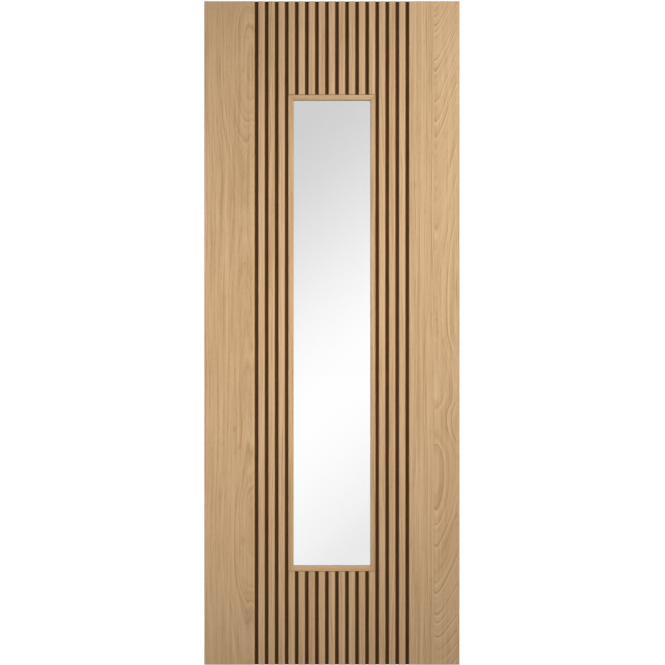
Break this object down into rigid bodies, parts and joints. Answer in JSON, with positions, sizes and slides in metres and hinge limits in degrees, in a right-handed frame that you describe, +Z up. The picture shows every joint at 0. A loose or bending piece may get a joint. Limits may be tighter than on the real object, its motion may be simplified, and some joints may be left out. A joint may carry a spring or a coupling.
{
  "type": "glazed door leaf",
  "caption": "Loose oak door leaf with wide plain stiles, a middle of upright slats with dark grooves between, and a tall narrow clear pane held by mitred beads.",
  "frame": {"origin": "on the left long edge, at the foot of the leaf, in the middle of its thickness", "axes": "+X across the leaf from the left edge to the right as seen from the front, +Y through the thickness from the front face to the back, +Z up"},
  "size_m": [0.762, 0.035, 1.981],
  "materials": {
    "oak_lipping": "clear matt lacquer",
    "oak_veneer": "clear matt lacquer",
    "oak_slat": "clear matt lacquer",
    "oak_bead": "clear matt lacquer",
    "dark_brown_backing": "matt stain",
    "core_board": "sawn",
    "clear_glass": "polished"
  },
  "bodies": {
    "root": {"back_bottom_backing_board": "dark_brown_backing", "back_bottom_glazing_bead": "oak_bead", "back_left_backing_board": "dark_brown_backing", "back_left_glazing_bead": "oak_bead", "back_left_slat_1": "oak_slat", "back_left_slat_2": "oak_slat", "back_left_slat_3": "oak_slat", "back_left_stile_facing": "oak_veneer", "back_lower_slats": "oak_slat", "back_right_backing_board": "dark_brown_backing", "back_right_glazing_bead": "oak_bead", "back_right_slat_1": "oak_slat", "back_right_slat_2": "oak_slat", "back_right_slat_3": "oak_slat", "back_right_stile_facing": "oak_veneer", "back_top_backing_board": "dark_brown_backing", "back_top_glazing_bead": "oak_bead", "back_upper_slats": "oak_slat", "core_bottom_rail": "core_board", "core_left_stile": "core_board", "core_right_stile": "core_board", "core_top_rail": "core_board", "front_bottom_backing_board": "dark_brown_backing", "front_bottom_glazing_bead": "oak_bead", "front_left_backing_board": "dark_brown_backing", "front_left_glazing_bead": "oak_bead", "front_left_slat_1": "oak_slat", "front_left_slat_2": "oak_slat", "front_left_slat_3": "oak_slat", "front_left_stile_facing": "oak_veneer", "front_lower_slats": "oak_slat", "front_right_backing_board": "dark_brown_backing", "front_right_glazing_bead": "oak_bead", "front_right_slat_1": "oak_slat", "front_right_slat_2": "oak_slat", "front_right_slat_3": "oak_slat", "front_right_stile_facing": "oak_veneer", "front_top_backing_board": "dark_brown_backing", "front_top_glazing_bead": "oak_bead", "front_upper_slats": "oak_slat", "glass_pane": "clear_glass", "left_edge_lipping": "oak_lipping", "right_edge_lipping": "oak_lipping"}
  },
  "joints": []
}
